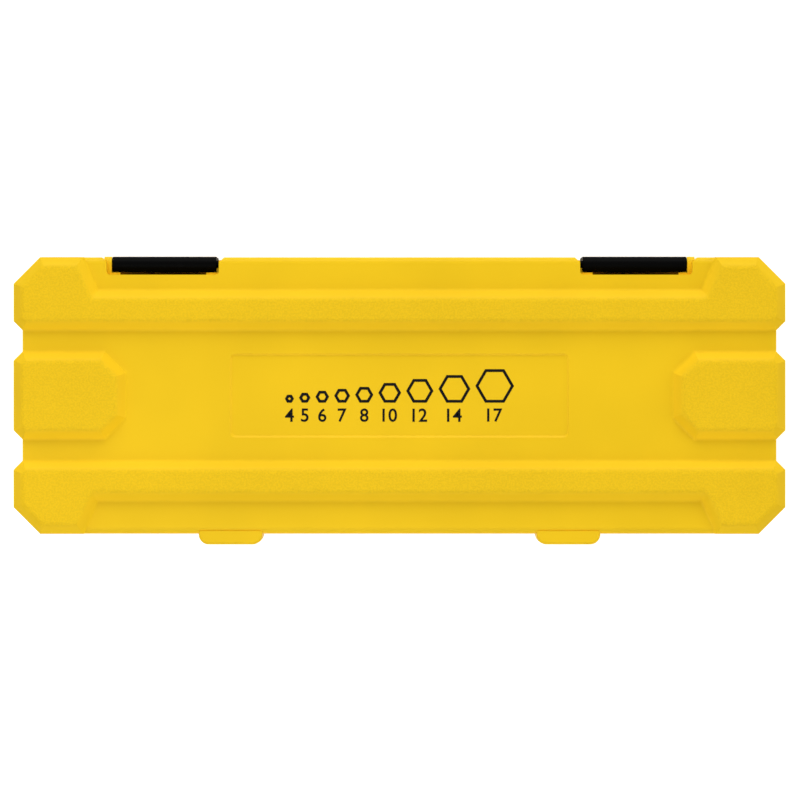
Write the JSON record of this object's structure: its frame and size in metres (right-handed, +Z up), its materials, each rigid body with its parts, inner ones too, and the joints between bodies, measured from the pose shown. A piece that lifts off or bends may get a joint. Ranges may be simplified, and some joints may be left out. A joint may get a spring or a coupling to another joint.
{
  "type": "hex bit socket set",
  "caption": "Hex bit sockets in a hinged yellow carrying case with two front latches, a fitted tray and raised rails and pads on its lid.",
  "frame": {"origin": "under the middle of the closed set's box, hinges and latches included, on the surface that it stands on", "axes": "+X along the case's length, +Y from the latches to the hinges, +Z up through the lid"},
  "size_m": [0.29, 0.109, 0.046],
  "materials": {
    "yellow_case": "fine grained on the raised panels, smooth satin in the recesses",
    "black_latch": "fine satin",
    "tray_foam": "closed-cell foam, fine matte skin",
    "pin_steel": "drawn bright",
    "socket_chrome": "satin chrome plate",
    "bit_steel": "bead blasted tool steel"
  },
  "bodies": {
    "base": {"base_shell": "yellow_case", "socket_tray": "tray_foam", "left_hinge_pin": "pin_steel", "right_hinge_pin": "pin_steel"},
    "lid": {"lid_shell": "yellow_case"},
    "left_latch": {"left_latch": "black_latch"},
    "right_latch": {"right_latch": "black_latch"},
    "socket_04mm": {"socket_body_04mm": "socket_chrome", "hex_bit_04mm": "bit_steel"},
    "socket_05mm": {"socket_body_05mm": "socket_chrome", "hex_bit_05mm": "bit_steel"},
    "socket_06mm": {"socket_body_06mm": "socket_chrome", "hex_bit_06mm": "bit_steel"},
    "socket_07mm": {"socket_body_07mm": "socket_chrome", "hex_bit_07mm": "bit_steel"},
    "socket_08mm": {"socket_body_08mm": "socket_chrome", "hex_bit_08mm": "bit_steel"},
    "socket_10mm": {"socket_body_10mm": "socket_chrome", "hex_bit_10mm": "bit_steel"},
    "socket_12mm": {"socket_body_12mm": "socket_chrome", "hex_bit_12mm": "bit_steel"},
    "socket_14mm": {"socket_body_14mm": "socket_chrome", "hex_bit_14mm": "bit_steel"},
    "socket_17mm": {"socket_body_17mm": "socket_chrome", "hex_bit_17mm": "bit_steel"}
  },
  "joints": [
    {"name": "lid_hinge", "type": "hinge", "parent": "base", "child": "lid", "pos_m": [0, 0.05205, 0.023], "axis": [-1, 0, 0], "range_deg": [0, 180]},
    {"name": "left_latch_pivot", "type": "hinge", "parent": "lid", "child": "left_latch", "pos_m": [-0.0886, -0.05155, 0.036], "axis": [-1, 0, 0], "range_deg": [0, 100]},
    {"name": "right_latch_pivot", "type": "hinge", "parent": "lid", "child": "right_latch", "pos_m": [0.0886, -0.05155, 0.036], "axis": [-1, 0, 0], "range_deg": [0, 100]},
    {"name": "socket_04mm_lift", "type": "slide", "parent": "base", "child": "socket_04mm", "axis": [0, 0, 1], "range_m": [0, 0.006]},
    {"name": "socket_05mm_lift", "type": "slide", "parent": "base", "child": "socket_05mm", "axis": [0, 0, 1], "range_m": [0, 0.006]},
    {"name": "socket_06mm_lift", "type": "slide", "parent": "base", "child": "socket_06mm", "axis": [0, 0, 1], "range_m": [0, 0.006]},
    {"name": "socket_07mm_lift", "type": "slide", "parent": "base", "child": "socket_07mm", "axis": [0, 0, 1], "range_m": [0, 0.006]},
    {"name": "socket_08mm_lift", "type": "slide", "parent": "base", "child": "socket_08mm", "axis": [0, 0, 1], "range_m": [0, 0.006]},
    {"name": "socket_10mm_lift", "type": "slide", "parent": "base", "child": "socket_10mm", "axis": [0, 0, 1], "range_m": [0, 0.006]},
    {"name": "socket_12mm_lift", "type": "slide", "parent": "base", "child": "socket_12mm", "axis": [0, 0, 1], "range_m": [0, 0.006]},
    {"name": "socket_14mm_lift", "type": "slide", "parent": "base", "child": "socket_14mm", "axis": [0, 0, 1], "range_m": [0, 0.006]},
    {"name": "socket_17mm_lift", "type": "slide", "parent": "base", "child": "socket_17mm", "axis": [0, 0, 1], "range_m": [0, 0.006]}
  ]
}
